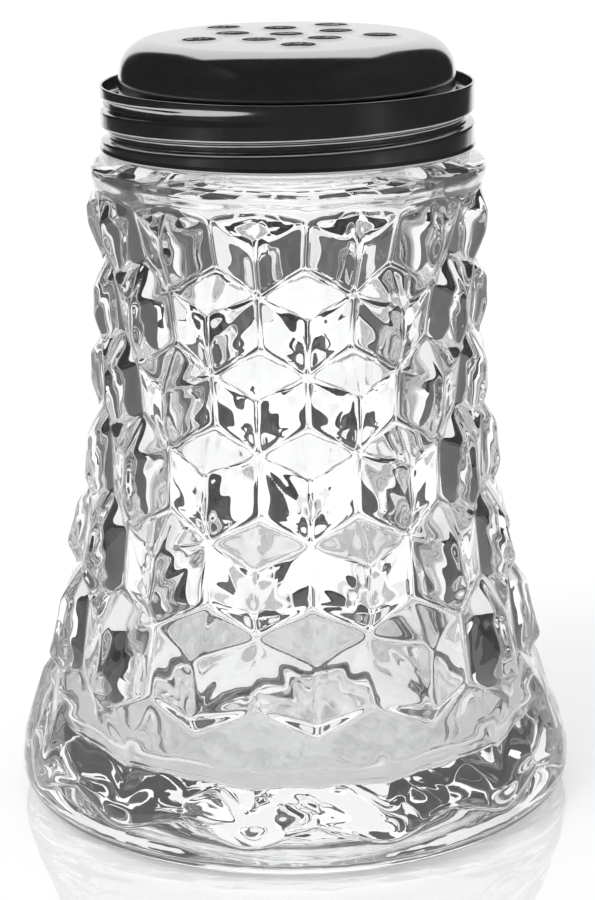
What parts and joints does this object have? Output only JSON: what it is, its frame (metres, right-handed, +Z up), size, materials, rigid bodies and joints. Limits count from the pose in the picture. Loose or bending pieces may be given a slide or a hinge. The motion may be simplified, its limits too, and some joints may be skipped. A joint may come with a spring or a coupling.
{
  "type": "cheese shaker",
  "caption": "Flared pressed-glass shaker with staggered cube relief, a screw band and a domed cap pierced for shaking grated cheese.",
  "frame": {"origin": "centre of the foot's lowest plane, on the shaker's axis", "axes": "+Z up along the shaker's axis; -Y towards the viewer of the picture; +X to the viewer's right"},
  "size_m": [0.1012, 0.1012, 0.1364],
  "materials": {
    "pressed_glass": "clear, fire-polished",
    "bright_steel": "polished",
    "gasket_rubber": "matt"
  },
  "bodies": {
    "jar": {"glass_jar": "pressed_glass"},
    "dome": {"perforated_dome": "bright_steel", "sealing_gasket": "gasket_rubber"},
    "band": {"screw_band": "bright_steel"}
  },
  "joints": [
    {"name": "cap_rise", "type": "slide", "parent": "jar", "child": "dome", "axis": [0, 0, 1], "range_m": [0, 0.0102]},
    {"name": "band_turn", "type": "hinge", "parent": "dome", "child": "band", "pos_m": [0, 0, 0.12], "axis": [0, 0, 1], "range_deg": [0, 720]}
  ],
  "couplings": [
    {"joint": "cap_rise", "follows": "band_turn", "m_per_rad": 0.00080851}
  ]
}
